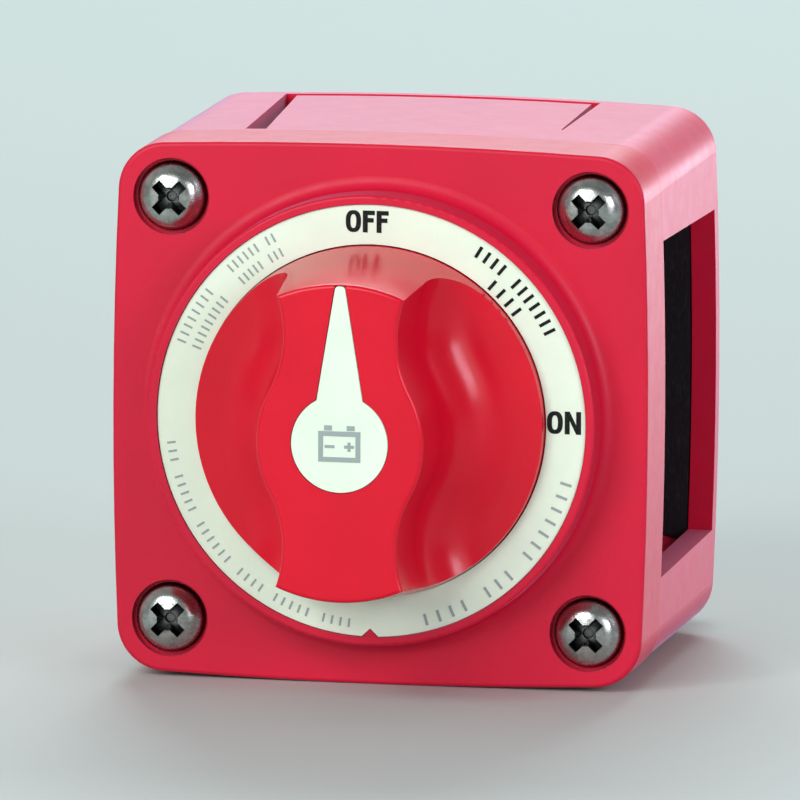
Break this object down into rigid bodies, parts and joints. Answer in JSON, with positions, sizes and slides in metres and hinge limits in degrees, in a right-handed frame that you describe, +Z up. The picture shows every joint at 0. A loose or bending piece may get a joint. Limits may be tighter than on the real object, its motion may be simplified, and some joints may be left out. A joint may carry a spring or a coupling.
{
  "type": "battery switch",
  "caption": "Square surface-mount rotary on-off battery switch with a waisted grip knob, a pale dial ring and a deep isolating cover with a side cable window.",
  "frame": {"origin": "centre of the cover's back face on the wall, on the switch axis", "axes": "+Z up, -Y out of the wall towards the user (the knob's side), +X to the user's right, where the ON position is"},
  "size_m": [0.0694, 0.0944, 0.0694],
  "materials": {
    "housing_red": "satin glass-filled moulding",
    "cover_red": "satin glass-filled moulding",
    "knob_red": "glossy moulding",
    "luminous_label": "pale photoluminescent film",
    "black_moulding": "black glass-filled moulding",
    "seal_rubber": "black elastomer",
    "white_nylon": "natural nylon",
    "tinned_copper": "tin-plated copper",
    "stainless_steel": "stainless steel"
  },
  "bodies": {
    "case": {"base_gasket": "seal_rubber", "base_screw_1": "stainless_steel", "base_screw_2": "stainless_steel", "base_screw_3": "stainless_steel", "base_screw_4": "stainless_steel", "contact_base": "black_moulding", "contact_plate_1": "tinned_copper", "contact_plate_2": "tinned_copper", "contact_plate_3": "tinned_copper", "contact_plate_4": "tinned_copper", "detent_ball_1": "stainless_steel", "detent_ball_2": "stainless_steel", "detent_spring_1": "stainless_steel", "detent_spring_2": "stainless_steel", "flat_washer_1": "tinned_copper", "flat_washer_2": "tinned_copper", "flat_washer_3": "tinned_copper", "flat_washer_4": "tinned_copper", "front_housing": "housing_red", "isolating_cover": "cover_red", "label_ring": "luminous_label", "lock_washer_1": "stainless_steel", "lock_washer_2": "stainless_steel", "lock_washer_3": "stainless_steel", "lock_washer_4": "stainless_steel", "mounting_screw_1": "stainless_steel", "mounting_screw_2": "stainless_steel", "mounting_screw_3": "stainless_steel", "mounting_screw_4": "stainless_steel", "rear_liner": "black_moulding", "terminal_nut_1": "stainless_steel", "terminal_nut_2": "stainless_steel", "terminal_nut_3": "stainless_steel", "terminal_nut_4": "stainless_steel", "terminal_stud_1": "tinned_copper", "terminal_stud_2": "tinned_copper", "terminal_stud_3": "tinned_copper", "terminal_stud_4": "tinned_copper"},
    "rotor_group": {"rotor": "black_moulding", "shaft_seal": "seal_rubber", "thrust_washer": "white_nylon", "contact_bridge_1": "tinned_copper", "contact_bridge_2": "tinned_copper", "bridge_spring_1": "stainless_steel", "bridge_spring_2": "stainless_steel", "bridge_spring_3": "stainless_steel", "bridge_spring_4": "stainless_steel"},
    "knob_group": {"knob": "knob_red", "pointer_inlay": "luminous_label"}
  },
  "joints": [
    {"name": "knob_turn", "type": "hinge", "parent": "case", "child": "rotor_group", "pos_m": [0, -0.0488, 0], "axis": [0, 1, 0], "range_deg": [0, 90]},
    {"name": "knob_pull", "type": "slide", "parent": "rotor_group", "child": "knob_group", "axis": [0, -1, 0], "range_m": [0, 0.018]}
  ]
}
